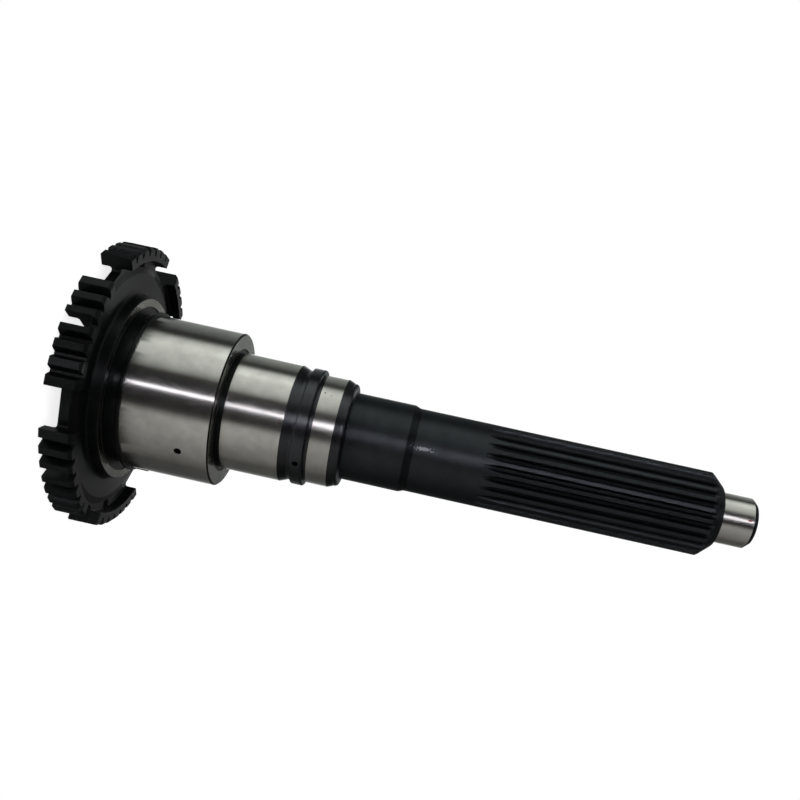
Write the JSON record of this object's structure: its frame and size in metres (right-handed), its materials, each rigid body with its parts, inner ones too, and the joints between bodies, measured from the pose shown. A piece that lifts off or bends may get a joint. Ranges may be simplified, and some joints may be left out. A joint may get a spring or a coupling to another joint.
{
  "type": "transmission input shaft",
  "caption": "Stepped steel input shaft with a toothed clutch hub at one end, ground journals, seal grooves, a long involute spline and a pilot journal.",
  "frame": {"origin": "centre of the toothed rim's far end face, on which the shaft stands", "axes": "+Z along the shaft's axis, from the clutch hub towards the pilot journal; +X through the middle of one notch of the rim"},
  "size_m": [0.1664, 0.168, 0.39],
  "materials": {
    "steel": "black oxide with ground satin journals"
  },
  "bodies": {
    "root": {"input_shaft": "steel"}
  },
  "joints": []
}
